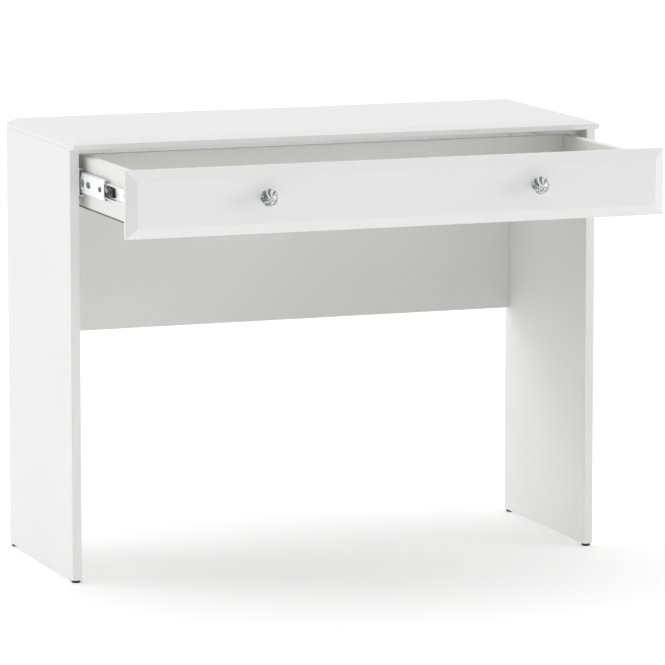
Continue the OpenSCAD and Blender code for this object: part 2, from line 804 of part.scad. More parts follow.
module knob_screws() {
    color(zinc) for (side = [left, right]) translate([side * knob_spacing / 2, front_back_y, knob_z]) {
        rotate([-90, 0, 0]) cylinder(d = knob_screw_head_d, h = knob_screw_head_t);
        rotate([90, 0, 0]) cylinder(d = knob_screw_d, h = board_t + knob_screw_in_base);
    }
}

top_panel();
left_side_panel();
right_side_panel();
modesty_panel();
cam_bolts();
cam_locks();
cam_covers();
wooden_dowels();
front_left_glide();
front_right_glide();
back_left_glide();
back_right_glide();
glide_nails();
left_cabinet_rail();
right_cabinet_rail();
cabinet_rail_screws();
left_middle_rail();
right_middle_rail();
left_outer_cage();
left_outer_balls();
right_outer_cage();
right_outer_balls();
left_inner_cage();
left_inner_balls();
right_inner_cage();
right_inner_balls();
left_drawer_rail();
right_drawer_rail();
drawer_rail_screws();
left_release_lever();
right_release_lever();
lever_rivets();
drawer_front();
drawer_left_side();
drawer_right_side();
drawer_back();
drawer_bottom();
drawer_cam_bolts();
drawer_cam_locks();
drawer_dowels();
drawer_back_screws();
drawer_bottom_nails();
bumper_pads();
left_knob_base();
right_knob_base();
left_knob_crystal();
right_knob_crystal();
knob_screws();
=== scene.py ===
# %% [markdown]
# # A white writing desk with one wide drawer
#
# This lesson dresses a desk whose working parts are already designed. The frame that is loaded
# below holds every part of it at its real size, in metres: X runs left to right, Y front to back
# and Z up from the floor. The shapes here are worked out as whole arrays of points, one formula
# for each kind of part, and each finish is a small network of nodes.

import bmesh
import bpy
import numpy as np
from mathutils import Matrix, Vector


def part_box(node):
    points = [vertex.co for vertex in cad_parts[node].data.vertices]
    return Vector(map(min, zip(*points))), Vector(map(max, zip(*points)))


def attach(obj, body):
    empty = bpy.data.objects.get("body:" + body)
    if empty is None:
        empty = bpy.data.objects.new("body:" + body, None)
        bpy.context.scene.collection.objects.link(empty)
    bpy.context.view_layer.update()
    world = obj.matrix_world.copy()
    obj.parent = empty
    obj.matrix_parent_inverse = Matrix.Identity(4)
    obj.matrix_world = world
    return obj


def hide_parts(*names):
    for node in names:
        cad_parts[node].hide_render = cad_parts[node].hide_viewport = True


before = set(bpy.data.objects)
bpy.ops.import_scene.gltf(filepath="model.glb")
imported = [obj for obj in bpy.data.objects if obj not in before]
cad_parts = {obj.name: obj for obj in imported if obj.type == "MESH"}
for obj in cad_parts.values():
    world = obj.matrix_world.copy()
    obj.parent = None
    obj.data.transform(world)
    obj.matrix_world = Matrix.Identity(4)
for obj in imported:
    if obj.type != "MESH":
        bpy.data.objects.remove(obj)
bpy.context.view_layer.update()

MM = 0.001


def box(node):
    """The lowest and highest corner of a part of the frame, as two rows of three numbers."""
    return np.array(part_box(node), float)


# %% [markdown]
# ## The camera
#
# A long lens far away keeps the desk's uprights nearly parallel, as furniture is usually shown.
# The camera stands to the left of the middle and a little above the top, so that the outer face
# of one side, the whole front and the open drawer all show.

# %% Place the camera
CAMERA_TARGET = np.array([-0.0043, 0.0, 0.4005])
CAMERA_DISTANCE = 8.591
CAMERA_AZIMUTH = -20.51
CAMERA_ELEVATION = 8.594
CAMERA_LENS = 272.8


def toward(azimuth, elevation):
    """The unit vector from the desk toward a point: azimuth 0 is straight in front, positive to the right."""
    a, e = np.radians([azimuth, elevation])
    return np.array([np.sin(a) * np.cos(e), -np.cos(a) * np.cos(e), np.sin(e)])


def aim(thing, direction):
    """Turns a camera or light so that it looks along the opposite of direction, upright."""
    from mathutils import Vector

    thing.rotation_euler = Vector(-direction).to_track_quat("-Z", "Y").to_euler()


camera = bpy.data.objects.new("camera", bpy.data.cameras.new("camera"))
camera.data.lens = CAMERA_LENS
camera.data.sensor_width = 36
camera.data.clip_end = 200
view_from = toward(CAMERA_AZIMUTH, CAMERA_ELEVATION)
camera.location = CAMERA_TARGET + CAMERA_DISTANCE * view_from
aim(camera, view_from)
bpy.context.collection.objects.link(camera)
bpy.context.scene.camera = camera
print("the camera stands", round(CAMERA_DISTANCE, 2), "m away, at", [round(v, 3) for v in camera.location])

# %% [markdown]
# ## The studio
#
# White furniture on white ground only reads if its faces have different greys. A broad soft lamp
# low on the right gives the front its tone and throws the knobs' shadows to the left, a second
# lamp lights the left side, a third one the top, and the pale floor, which is itself a little
# luminous like a lit paper sweep, fills everything from below.

# %% Lights, world and floor
LAMPS = {  # name: (azimuth, elevation, spread in degrees, strength)
    "key_lamp": (62, 5, 28, 0.9),
    "high_key_lamp": (51, 22, 50, 0.28),
    "back_left_lamp": (-122, 15, 36, 0.71),
    "top_lamp": (0, 85, 80, 0.64),
}
DOME = {(0, 1, 0): 0.6, (0, 0, 1): 0.86}  # direction of the middle of each glow, and its strength
FLOOR_GLOW = 0.22
FLOOR_WHITE = 0.9
FLOOR_HALF = 60


def soft_lamp(name, azimuth, elevation, spread, strength):
    """A far lamp that covers spread degrees of the sky around its direction."""
    lamp = bpy.data.objects.new(name, bpy.data.lights.new(name, "SUN"))
    lamp.data.angle = np.radians(spread)
    lamp.data.energy = strength
    aim(lamp, toward(azimuth, elevation))
    bpy.context.collection.objects.link(lamp)
    return lamp


for lamp_name, lamp_values in LAMPS.items():
    soft_lamp(lamp_name, *lamp_values)

world = bpy.data.worlds.new("studio")
world.use_nodes = True
sky = world.node_tree
way = sky.nodes.new("ShaderNodeTexCoord").outputs["Generated"]
brightness = None
for direction, strength in DOME.items():
    lobe = sky.nodes.new("ShaderNodeVectorMath")
    lobe.operation = "DOT_PRODUCT"
    lobe.inputs[1].default_value = [strength * part for part in direction]
    sky.links.new(way, lobe.inputs[0])
    lit = sky.nodes.new("ShaderNodeMath")
    lit.operation = "MAXIMUM"
    lit.inputs[1].default_value = 0.0
    sky.links.new(lobe.outputs["Value"], lit.inputs[0])
    if brightness is None:
        brightness = lit.outputs[0]
    else:
        total = sky.nodes.new("ShaderNodeMath")
        sky.links.new(brightness, total.inputs[0])
        sky.links.new(lit.outputs[0], total.inputs[1])
        brightness = total.outputs[0]
sky.nodes["Background"].inputs["Color"].default_value = (1, 1, 1, 1)
sky.links.new(brightness, sky.nodes["Background"].inputs["Strength"])
bpy.context.scene.world = world
bpy.context.scene.view_settings.view_transform = "Standard"
print(len(LAMPS), "lamps and", len(DOME), "glows in the dome")

# %% [markdown]
# ## How the shapes are made
#
# Nearly every part of the desk is a stack of closed rings: a board is a stack of rounded
# rectangles, a knob or a screw a stack of circles, a steel rail one bent outline repeated at
# two places. So one helper joins the rings of a grid into faces, and closes both ends.


# %% Rings to faces
def ring_quads(rows, columns):
    """Four-cornered faces between neighbouring rings: point (i, j) joins (i, j+1), (i+1, j+1) and (i+1, j)."""
    i, j = np.meshgrid(np.arange(rows - 1), np.arange(columns), indexing="ij")
    k = (j + 1) % columns
    return np.stack([i * columns + j, i * columns + k, (i + 1) * columns + k, (i + 1) * columns + j], -1).reshape(-1, 4)


def piece(name, stacks, smooth_below=35.0, flat=False, weighted=True, marks=None):
    """A mesh object from stacks of rings, each an array (rows, columns, 3) in metres.

    Each stack is closed by a face over its first and last ring. Rings that shrink to a point are
    merged, and the faces are turned outwards. marks gives a value for each ring of each stack.
    """
    points, faces, first = [], [], 0
    for rings in stacks:
        rows, columns = rings.shape[:2]
        points.append(rings.reshape(-1, 3))
        faces += (ring_quads(rows, columns) + first).tolist()
        faces += [list(range(first + columns - 1, first - 1, -1))]
        faces += [list(range(first + (rows - 1) * columns, first + rows * columns))]
        first += rows * columns
    mesh = bpy.data.meshes.new(name)
    mesh.from_pydata(np.concatenate(points).tolist(), [], faces)
    if marks is not None:
        values = np.concatenate([np.repeat(m, rings.shape[1]) for m, rings in zip(marks, stacks)])
        mesh.attributes.new("wear", "FLOAT", "POINT").data.foreach_set("value", values.astype(np.float32))
    tidy = bmesh.new()
    tidy.from_mesh(mesh)
    bmesh.ops.remove_doubles(tidy, verts=tidy.verts, dist=1e-7)
    bmesh.ops.recalc_face_normals(tidy, faces=tidy.faces)
    tidy.to_mesh(mesh)
    tidy.free()
    made = bpy.data.objects.new(name, mesh)
    bpy.context.collection.objects.link(made)
    shade(made, smooth_below, flat, weighted)
    return made


def shade(made, smooth_below=35.0, flat=False, weighted=True):
    """Smooth shading over shallow edges; weighted normals keep the broad faces flat beside their arrises."""
    made.data.polygons.foreach_set("use_smooth", np.full(len(made.data.polygons), not flat))
    if flat:
        return
    made.data.set_sharp_from_angle(angle=np.radians(smooth_below))
    if weighted:
        finish = made.modifiers.new("flat faces stay flat", "WEIGHTED_NORMAL")
        finish.keep_sharp = True
        finish.weight = 80


def rounded_path(corners, radii, steps=4):
    """An open path in which each inner corner is an arc.

    Where two legs meet at the angle 2h, the arc of radius r touches them r / tan(h) away from
    the corner, and its centre lies r / sin(h) away along the line that halves the angle.
    """
    p = np.asarray(corners, float)
    r = np.broadcast_to(np.asarray(radii, float), len(p) - 2)[:, None]
    before, after = p[:-2] - p[1:-1], p[2:] - p[1:-1]
    before /= np.linalg.norm(before, axis=1, keepdims=True)
    after /= np.linalg.norm(after, axis=1, keepdims=True)
    half = np.arccos(np.clip((before * after).sum(1, keepdims=True), -1, 1)) / 2
    halving = before + after
    halving /= np.linalg.norm(halving, axis=1, keepdims=True)
    centre = p[1:-1] + halving * r / np.sin(half)
    start = p[1:-1] + before * r / np.tan(half) - centre
    end = p[1:-1] + after * r / np.tan(half) - centre
    turn = (np.pi - 2 * half)[:, None]
    t = np.linspace(0, 1, steps + 1)[None, :, None]
    arcs = centre[:, None] + (np.sin((1 - t) * turn) * start[:, None] + np.sin(t * turn) * end[:, None]) / np.sin(turn)
    return np.concatenate([p[:1], arcs.reshape(-1, p.shape[1]), p[-1:]])


# %% [markdown]
# ## Finishes
#
# Each finish is a physically based shader whose colour, roughness and fine relief are moved a
# little by noise that is fixed to the object. The helpers below only save typing: one adds a
# node and fills its sockets, one makes the usual trio of tone, roughness and relief.


# %% Node helpers
def add(tree, kind, sockets=None, **settings):
    """Adds a node. sockets maps a socket's name or number to a value or to another node's output."""
    made = tree.nodes.new(kind)
    for key, value in settings.items():
        setattr(made, key, value)
    for key, value in (sockets or {}).items():
        if isinstance(value, bpy.types.NodeSocket):
            tree.links.new(value, made.inputs[key])
        else:
            made.inputs[key].default_value = value
    return made


def new_finish(name):
    """An empty node material: its tree, its shader and the object coordinates that every pattern uses."""
    material = bpy.data.materials.new(name)
    material.use_nodes = True
    tree = material.node_tree
    return material, tree, tree.nodes["Principled BSDF"], add(tree, "ShaderNodeTexCoord").outputs["Object"]


def noise(tree, where, size, detail=2.0, stretch=(1, 1, 1)):
    """Noise whose features are about size metres across, longer along an axis where stretch is smaller."""
    placed = add(tree, "ShaderNodeMapping", {"Vector": where, "Scale": tuple(s / size for s in stretch)})
    return add(tree, "ShaderNodeTexNoise", {"Vector": placed.outputs[0], "Scale": 1.0, "Detail": detail}).outputs[0]


def between(tree, value, low, high):
    """Maps noise, which stays mostly within 0.3 and 0.7, to the range from low to high."""
    return add(tree, "ShaderNodeMapRange", {0: value, 1: 0.3, 2: 0.7, 3: low, 4: high}).outputs[0]


def tones(tree, value, first, second):
    """A colour between two tones, chosen by a value from 0 to 1."""
    mixed = add(tree, "ShaderNodeMix", {0: value, 6: (*first, 1), 7: (*second, 1)}, data_type="RGBA")
    return mixed.outputs[2]


def relief(tree, height, depth, strength=1.0):
    """A bump whose full height is depth metres."""
    return add(tree, "ShaderNodeBump", {"Height": height, "Distance": depth, "Strength": strength}).outputs[0]


# %% [markdown]
# White melamine and foil look flat from afar, yet neither is: the press plate leaves a fine
# pearled relief, the sheen drifts a little over each board, and the arrises, which hands and
# cloths polish, are slightly smoother and a touch greyer. The wear value that the board maker
# below writes along every arris steers that last part.


# %% White board finishes
def white_board(name, tone, roughness, pearl, depth):
    """Satin white: pearled relief of the given grain size and depth, with worn arrises."""
    material, tree, shader, where = new_finish(name)
    drift = noise(tree, where, 0.18)
    worn = add(tree, "ShaderNodeAttribute", attribute_name="wear").outputs["Fac"]
    rubbed = add(
        tree, "ShaderNodeMath", {0: worn, 1: between(tree, noise(tree, where, 0.012, 4.0), 0.0, 1.0)}, operation="MULTIPLY"
    ).outputs[0]
    clean = tones(tree, between(tree, drift, 0, 1), [c * 0.985 for c in tone], tone)
    shaded = add(tree, "ShaderNodeMix", {0: rubbed, 6: clean, 7: (*[c * 0.9 for c in tone], 1)}, data_type="RGBA")
    tree.links.new(shaded.outputs[2], shader.inputs["Base Color"])
    sheen = between(tree, noise(tree, where, 0.03, 3.0), roughness - 0.04, roughness + 0.04)
    polished = add(
        tree, "ShaderNodeMath", {0: rubbed, 1: -0.12, 2: sheen}, operation="MULTIPLY_ADD", use_clamp=True
    ).outputs[0]
    tree.links.new(polished, shader.inputs["Roughness"])
    tree.links.new(relief(tree, noise(tree, where, pearl, 1.0), depth), shader.inputs["Normal"])
    shader.inputs["Specular IOR Level"].default_value = 0.28
    return material


MELAMINE = white_board("white_melamine", (0.86, 0.86, 0.858), 0.46, 0.0011, 0.00002)
FOIL = white_board("white_foil", (0.85, 0.85, 0.848), 0.43, 0.0018, 0.000015)
WALL_FOIL = white_board("white_wall_foil", (0.85, 0.85, 0.842), 0.45, 0.0011, 0.00002)
# a lighter copy of the wall foil for the drawer's back wall: painted light for the light that falls into the drawer
PAINTED_LIGHT_BACK_FOIL = white_board("white_back_foil_painted_light", (0.9, 0.9, 0.896), 0.42, 0.0011, 0.00002)
print("four white board finishes")


# %% Floor
def plain_floor():
    """One big square at height 0."""
    corners = np.array([[-1, -1, 0], [1, -1, 0], [1, 1, 0], [-1, 1, 0]], float) * FLOOR_HALF
    mesh = bpy.data.meshes.new("floor")
    mesh.from_pydata(corners.tolist(), [], [[0, 1, 2, 3]])
    made = bpy.data.objects.new("floor", mesh)
    bpy.context.collection.objects.link(made)
    return made


floor = plain_floor()
paper, paper_tree, paper_shader, paper_where = new_finish("pale_floor")
paper_shader.inputs["Roughness"].default_value = 0.9
paper_shader.inputs["Specular IOR Level"].default_value = 0.1
paper_shader.inputs["Base Color"].default_value = (FLOOR_WHITE, FLOOR_WHITE, FLOOR_WHITE, 1)
paper_shader.inputs["Emission Color"].default_value = (1, 1, 1, 1)
paper_shader.inputs["Emission Strength"].default_value = FLOOR_GLOW
floor.data.materials.append(paper)

# %% [markdown]
# The small parts get their own finishes. Cold-rolled slide strip shows fine lines along its
# length under the zinc; screws carry a thinner, slightly warm or bluish zinc; a cast cam lock is
# dull and mottled; balls and the knob's metal are polished. The drawer bottom is hardboard, white
# on its upper face only: its edges and its underside show the brown fibre.


# %% Metal, plastic, wood and glass finishes
def metal(name, dark, bright, smooth, rough, size, stretch=(1, 1, 1), depth=0.000004):
    """A metal whose roughness drifts with the same stretched noise that gives its relief, and whose tone drifts with a
    broader noise.
    """
    material, tree, shader, where = new_finish(name)
    lines = noise(tree, where, size, 3.0, stretch)
    cloud = noise(tree, where, size * 9, 2.0)
    tree.links.new(tones(tree, between(tree, cloud, 0, 1), dark, bright), shader.inputs["Base Color"])
    tree.links.new(between(tree, lines, smooth, rough), shader.inputs["Roughness"])
    tree.links.new(relief(tree, lines, depth), shader.inputs["Normal"])
    shader.inputs["Metallic"].default_value = 1.0
    return material


def plastic(name, dark, bright, roughness, grain, depth=0.00002):
    """A moulded plastic with a finely eroded surface."""
    material, tree, shader, where = new_finish(name)
    speckle = noise(tree, where, grain, 2.0)
    tree.links.new(tones(tree, between(tree, noise(tree, where, grain * 20), 0, 1), dark, bright), shader.inputs["Base Color"])
    tree.links.new(between(tree, speckle, roughness - 0.05, roughness + 0.07), shader.inputs["Roughness"])
    tree.links.new(relief(tree, speckle, depth), shader.inputs["Normal"])
    return material


BRIGHT_ZINC = metal("bright_zinc", (0.90, 0.905, 0.91), (0.94, 0.945, 0.95), 0.40, 0.50, 0.0009, (1, 0.04, 1), 0.0000012)
CAGE_STEEL = metal("cage_steel", (0.62, 0.63, 0.65), (0.76, 0.77, 0.79), 0.26, 0.40, 0.0008, (1, 0.1, 1))
BALL_STEEL = metal("ball_steel", (0.72, 0.73, 0.75), (0.84, 0.85, 0.86), 0.05, 0.12, 0.0006, depth=0.000001)
SCREW_ZINC = metal("screw_zinc", (0.66, 0.68, 0.73), (0.80, 0.79, 0.74), 0.24, 0.40, 0.0007)
CAST_ZINC = metal("cast_zinc", (0.44, 0.45, 0.46), (0.60, 0.61, 0.62), 0.42, 0.62, 0.0005, depth=0.00002)
BLACK_OXIDE = metal("black_oxide", (0.02, 0.02, 0.021), (0.04, 0.04, 0.042), 0.40, 0.55, 0.0006)
CHROME = metal("chrome", (0.74, 0.75, 0.77), (0.84, 0.85, 0.87), 0.03, 0.10, 0.0012, depth=0.000001)
BLACK_PLASTIC = plastic("black_plastic", (0.012, 0.012, 0.013), (0.022, 0.022, 0.023), 0.46, 0.0005)
WHITE_PLASTIC = plastic("white_plastic", (0.83, 0.83, 0.82), (0.87, 0.87, 0.865), 0.42, 0.0006)


def beech():
    """Pale wood: a fine grain between two tones, and flecks drawn out along Z that vary its roughness."""
    material, tree, shader, where = new_finish("beech")
    fibres = noise(tree, where, 0.0008, 3.0, (1, 1, 1))
    flecks = noise(tree, where, 0.0016, 1.0, (2, 2, 1))
    tree.links.new(tones(tree, between(tree, fibres, 0, 1), (0.52, 0.33, 0.18), (0.68, 0.48, 0.29)), shader.inputs["Base Color"])
    tree.links.new(between(tree, flecks, 0.5, 0.7), shader.inputs["Roughness"])
    tree.links.new(relief(tree, fibres, 0.00006), shader.inputs["Normal"])
    return material


def hardboard():
    """White lacquer where the board faces up, matted brown fibre on its edges and underside."""
    material, tree, shader, where = new_finish("white_hardboard")
    facing = add(tree, "ShaderNodeSeparateXYZ", {0: add(tree, "ShaderNodeNewGeometry").outputs["Normal"]}).outputs[2]
    up = add(tree, "ShaderNodeMath", {0: facing, 1: 0.5}, operation="GREATER_THAN").outputs[0]
    fibre = noise(tree, where, 0.0025, 6.0, (1, 0.6, 1))
    brown = tones(tree, between(tree, fibre, 0, 1), (0.115, 0.108, 0.098), (0.22, 0.21, 0.19))
    mixed = add(tree, "ShaderNodeMix", {0: up, 6: brown, 7: (0.85, 0.85, 0.845, 1)}, data_type="RGBA")
    tree.links.new(mixed.outputs[2], shader.inputs["Base Color"])
    dull = between(tree, fibre, 0.65, 0.85)
    satin = between(tree, noise(tree, where, 0.004), 0.38, 0.46)
    rough = add(tree, "ShaderNodeMix", {0: up, 2: dull, 3: satin}, data_type="FLOAT")
    tree.links.new(rough.outputs[0], shader.inputs["Roughness"])
    tree.links.new(relief(tree, fibre, 0.00005), shader.inputs["Normal"])
    return material


def cut_crystal():
    """Clear lead glass with the faint haze that fingers leave on the facets."""
    material, tree, shader, where = new_finish("cut_crystal")
    shader.inputs["Base Color"].default_value = (0.98, 0.985, 0.99, 1)
    shader.inputs["Transmission Weight"].default_value = 0.84
    shader.inputs["IOR"].default_value = 1.56
    tree.links.new(between(tree, noise(tree, where, 0.004, 4.0), 0.0, 0.02), shader.inputs["Roughness"])
    return material


BEECH = beech()
HARDBOARD = hardboard()
CRYSTAL = cut_crystal()
print(len(bpy.data.materials), "finishes in all")


# %% Small helpers for fitting pieces to the frame
def hang(made, body, slot, finish, *stands_for):
    """Gives a piece its finish, lets it ride on a body and hides the parts of the frame that it stands for."""
    made.data.materials.clear()
    made.data.materials.append(finish)
    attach(made, body)
    if stands_for:
        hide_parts(*stands_for)
    return made


def dress(node, finish):
    """Gives a part of the frame that stays as it is its finish."""
    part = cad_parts[node]
    part.data.materials.clear()
    part.data.materials.append(finish)


def separate_solids(node):
    """The corners (lowest, highest) of each separate solid in a part of the frame, as an array (n, 2, 3)."""
    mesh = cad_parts[node].data
    welded = bmesh.new()
    welded.from_mesh(mesh)
    bmesh.ops.remove_doubles(welded, verts=welded.verts, dist=2e-6)
    welded.verts.ensure_lookup_table()
    points = np.array([v.co for v in welded.verts], float)
    pairs = np.array([[v.index for v in e.verts] for e in welded.edges])
    welded.free()
    label = np.arange(len(points))
    while True:
        low = np.minimum(label[pairs[:, 0]], label[pairs[:, 1]])
        grown = label.copy()
        np.minimum.at(grown, pairs[:, 0], low)
        np.minimum.at(grown, pairs[:, 1], low)
        grown = grown[grown]
        if (grown == label).all():
            break
        label = grown
    kinds = np.unique(label)
    return np.array([[points[label == k].min(0), points[label == k].max(0)] for k in kinds])


# %% [markdown]
# ## Boards
#
# A board is a stack of rounded rectangles. Each ring is drawn in by its own inset and stands at
# its own depth, and the list of (inset, depth) pairs is the section of the board's edge: that is
# how a router bit works too. The flat faces are the two closing faces of the stack. A modelled
# block with a bevel modifier would do for a plain board, but not for a border that slopes on
# three edges only, and the rings give both with one formula.


# %% Board maker
def rounded_rectangles(low, high, insets, corner, steps=3):
    """Rings (rows, points, 2): row i is the rectangle low..high drawn in by insets[i] = (u low, u high, v low, v high).

    Each of its four corners is a quarter circle of radius corner about a centre that lies corner inside both sides.
    """
    quarter = np.linspace(0, np.pi / 2, steps + 1)
    angle = (np.arange(4)[:, None] * np.pi / 2 + quarter).ravel()
    right = np.repeat([1, 0, 0, 1], steps + 1).astype(bool)
    far = np.repeat([1, 1, 0, 0], steps + 1).astype(bool)
    u = np.where(right, (high[0] - insets[:, 1:2]) - corner, (low[0] + insets[:, 0:1]) + corner)
    v = np.where(far, (high[1] - insets[:, 3:4]) - corner, (low[1] + insets[:, 2:3]) + corner)
    return np.stack([u + corner * np.cos(angle), v + corner * np.sin(angle)], -1)


def board(name, corners, axis, insets, depths, facing=1, corner=0.8 * MM, wear=None):
    """A board between two corners: ring i is drawn in by insets[i] and lies depths[i] below the face that looks along axis."""
    u, v = (axis + 1) % 3, (axis + 2) % 3
    low, high = corners
    insets = np.asarray(insets, float)
    if insets.ndim == 1:
        insets = np.repeat(insets[:, None], 4, 1)
    flat = rounded_rectangles(low[[u, v]], high[[u, v]], insets, corner)
    rings = np.empty((*flat.shape[:2], 3))
    rings[..., [u, v]] = flat
    face = high[axis] if facing > 0 else low[axis]
    rings[..., axis] = (face - facing * np.asarray(depths, float))[:, None]
    return piece(name, [rings], marks=[np.zeros(len(depths)) if wear is None else wear])


def edge_section(thickness, arris, seam=0.9 * MM, groove=0.06 * MM):
    """(inset, depth) pairs from one face over both arrises to the other face, and where the arrises are.

    Just inside each arris a hair-fine groove marks the seam of the glued edging.
    """
    t = np.linspace(0, np.pi / 2, 5)
    arc = np.c_[arris * (1 - np.sin(t)), arris * (1 - np.cos(t))]
    face = np.array([[6 * arris, 0], [seam + groove, 0], [seam, groove], [seam - groove, 0]])
    half = np.r_[face, arc]
    other = half[::-1] * [1, -1] + [0, thickness]
    worn = np.r_[np.zeros(len(face)), 0, 0.7, 1, 0.7, 0]
    return np.r_[half, other], np.r_[worn, worn[::-1]]


def plain_board(name, node, axis, arris=0.7 * MM, finish=None, body="carcass"):
    """A flat board with softened arrises in the place of a part of the frame."""
    corners = box(node)
    section, worn = edge_section(corners[1][axis] - corners[0][axis], arris)
    made = board(name, corners, axis, section[:, 0], section[:, 1], wear=worn)
    return hang(made, body, "white_laminate", finish or MELAMINE, node)


left_side = plain_board("left_side", "left_side_panel", 0)
right_side = plain_board("right_side", "right_side_panel", 0)
back_panel = plain_board("back_panel", "modesty_panel", 1)
print("the back panel is", np.round((box("modesty_panel")[1] - box("modesty_panel")[0]) / MM, 1), "mm")

# %% [markdown]
# The top is a fibreboard with white foil drawn over it, so its sloping border has no seam. The
# border is 18 mm wide on the front and on both ends and leaves an upright edge; the back edge is
# square, because it stands against the wall.

# %% Worktop
TOP_BEVEL = 18 * MM
TOP_EDGE = 9 * MM
top_corners = box("top_panel")
TOP_THICK = top_corners[1][2] - top_corners[0][2]
top_section = rounded_path(
    [[60 * MM, 0], [TOP_BEVEL, 0], [0, TOP_THICK - TOP_EDGE], [0, TOP_THICK], [12 * MM, TOP_THICK]],
    np.array([2.2, 1.6, 0.7]) * MM,
)


def square_edge(depths, thickness, arris):
    """The inset of a square edge with rounded arrises at each depth: a quarter circle near each face."""
    below = np.minimum(depths, thickness - depths)
    return arris - np.sqrt(np.maximum(arris**2 - np.maximum(arris - below, 0) ** 2, 0))


top_insets = np.repeat(top_section[:, :1], 4, 1)
top_insets[:, 3] = square_edge(top_section[:, 1], TOP_THICK, 0.7 * MM)
top_insets[[0, -1], 3] = 12 * MM
ARC_WEAR = [0, 0.7, 1, 0.7, 0]
top_wear = np.r_[0, np.tile(ARC_WEAR, 3), 0]
worktop = board("worktop", top_corners, 2, top_insets, top_section[:, 1], corner=1.2 * MM, wear=top_wear)
hang(worktop, "carcass", "white_laminate", FOIL, "top_panel")
print("the worktop has", len(worktop.data.polygons), "faces")

# %% [markdown]
# The drawer front is the same kind of board stood on edge: a raised field with a sloping border
# on all four edges. Its mitred corners are what the eye picks out first, so their arrises are
# kept tight.

# %% Drawer front
FRONT_BEVEL = 18 * MM
FRONT_EDGE = 8 * MM
front_corners = box("drawer_front")
FRONT_THICK = front_corners[1][1] - front_corners[0][1]
front_section = rounded_path(
    [[50 * MM, 0], [FRONT_BEVEL, 0], [0, FRONT_THICK - FRONT_EDGE], [0, FRONT_THICK], [12 * MM, FRONT_THICK]],
    np.array([1.4, 1.0, 0.7]) * MM,
)
front_wear = np.r_[0, np.tile(ARC_WEAR, 3), 0]
drawer_face = board(
    "drawer_face", front_corners, 1, front_section[:, 0], front_section[:, 1], facing=-1, corner=0.8 * MM, wear=front_wear
)
hang(drawer_face, "drawer", "white_laminate", FOIL, "drawer_front")

# %% [markdown]
# The drawer box is thinner board, foiled on all faces, with a hardboard bottom nailed under it.
# Its back wall gets a lighter copy of the same foil: painted light, for the light falling into the drawer.

# %% Drawer box
drawer_walls = []
for wall, node, axis, foil in (
    ("drawer_left_wall", "drawer_left_side", 0, WALL_FOIL),
    ("drawer_right_wall", "drawer_right_side", 0, WALL_FOIL),
    # the back wall's lighter foil is painted light
    ("drawer_back_wall", "drawer_back", 1, PAINTED_LIGHT_BACK_FOIL),
):
    drawer_walls.append(plain_board(wall, node, axis, 0.9 * MM, foil, "drawer"))
bottom_corners = box("drawer_bottom")
bottom_section, bottom_worn = edge_section(bottom_corners[1][2] - bottom_corners[0][2], 0.25 * MM)
drawer_bottom_sheet = board(
    "drawer_bottom_sheet", bottom_corners, 2, bottom_section[:, 0], bottom_section[:, 1], wear=bottom_worn
)
hang(drawer_bottom_sheet, "drawer", "white_hardboard", HARDBOARD, "drawer_bottom")

# %% [markdown]
# ## Ball-bearing slides
#
# A slide is three steel strips bent into channels that telescope on two rows of balls. Each is
# one line, the middle of the strip, bent at its corners and given a thickness, then carried
# along the slide. The slots are punched with cutting bodies, as the press does it.


# %% Bent strips
def strip_outline(path, thickness):
    """The closed outline of a bent strip: its middle line shifted by half the thickness to each side.

    At a point between two legs with unit directions a and b, the shift runs along the normal of
    a + b and is 2 / |a + b|^2 times that sum, so that the strip keeps its thickness in the bend.
    """
    legs = np.diff(path, axis=0)
    legs /= np.linalg.norm(legs, axis=1, keepdims=True)
    sums = np.concatenate([legs[:1] * 2, legs[:-1] + legs[1:], legs[-1:] * 2])
    sums *= 2 / (sums**2).sum(1, keepdims=True)
    shift = np.c_[-sums[:, 1], sums[:, 0]] * thickness / 2
    return np.concatenate([path + shift, (path - shift)[::-1]])


def along_y(outline, start, end):
    """The outline (x, z) repeated at the two ends of a straight run along Y."""
    rings = np.empty((2, len(outline), 3))
    rings[..., [0, 2]] = outline
    rings[0, :, 1], rings[1, :, 1] = start, end
    return rings


def punch(made, cutters):
    """Cuts bodies out of a piece for good, then removes them."""
    for cutter in cutters:
        hole = made.modifiers.new("punched", "BOOLEAN")
        hole.operation, hole.object, hole.solver = "DIFFERENCE", cutter, "EXACT"
    finishing = [m for m in made.modifiers if m.type == "WEIGHTED_NORMAL"]
    for m in finishing:
        made.modifiers.remove(m)
    seen = made.evaluated_get(bpy.context.evaluated_depsgraph_get())
    mesh = bpy.data.meshes.new_from_object(seen)
    made.modifiers.clear()
    made.data = mesh
    for cutter in cutters:
        bpy.data.objects.remove(cutter)
    shade(made)


def slot_cutter(center, length, height, reach):
    """A round-ended bar through a strip: the outline runs round two half circles in the (y, z) plane."""
    t = np.linspace(0, 2 * np.pi, 24, endpoint=False) + np.pi / 24
    straight = (length - height) / 2
    y = height / 2 * np.sin(t) + np.sign(np.sin(t)) * straight
    z = height / 2 * np.cos(t)
    rings = np.empty((2, len(t), 3))
    rings[..., 0] = np.array([[-reach], [reach]]) + center[0]
    rings[..., 1] = y + center[1]
    rings[..., 2] = z + center[2]
    return piece("cutter", [rings], weighted=False)


SLIDE_Z = box("left_cabinet_rail").mean(0)[2]
STEEL = 1.2 * MM
rail_wall = {"left": box("left_cabinet_rail")[0][0], "right": box("right_cabinet_rail")[1][0]}


def slide_x(side, across):
    """X of a point that lies a given distance from the side panel, across the slide."""
    return rail_wall[side] + across if side == "left" else rail_wall[side] - across


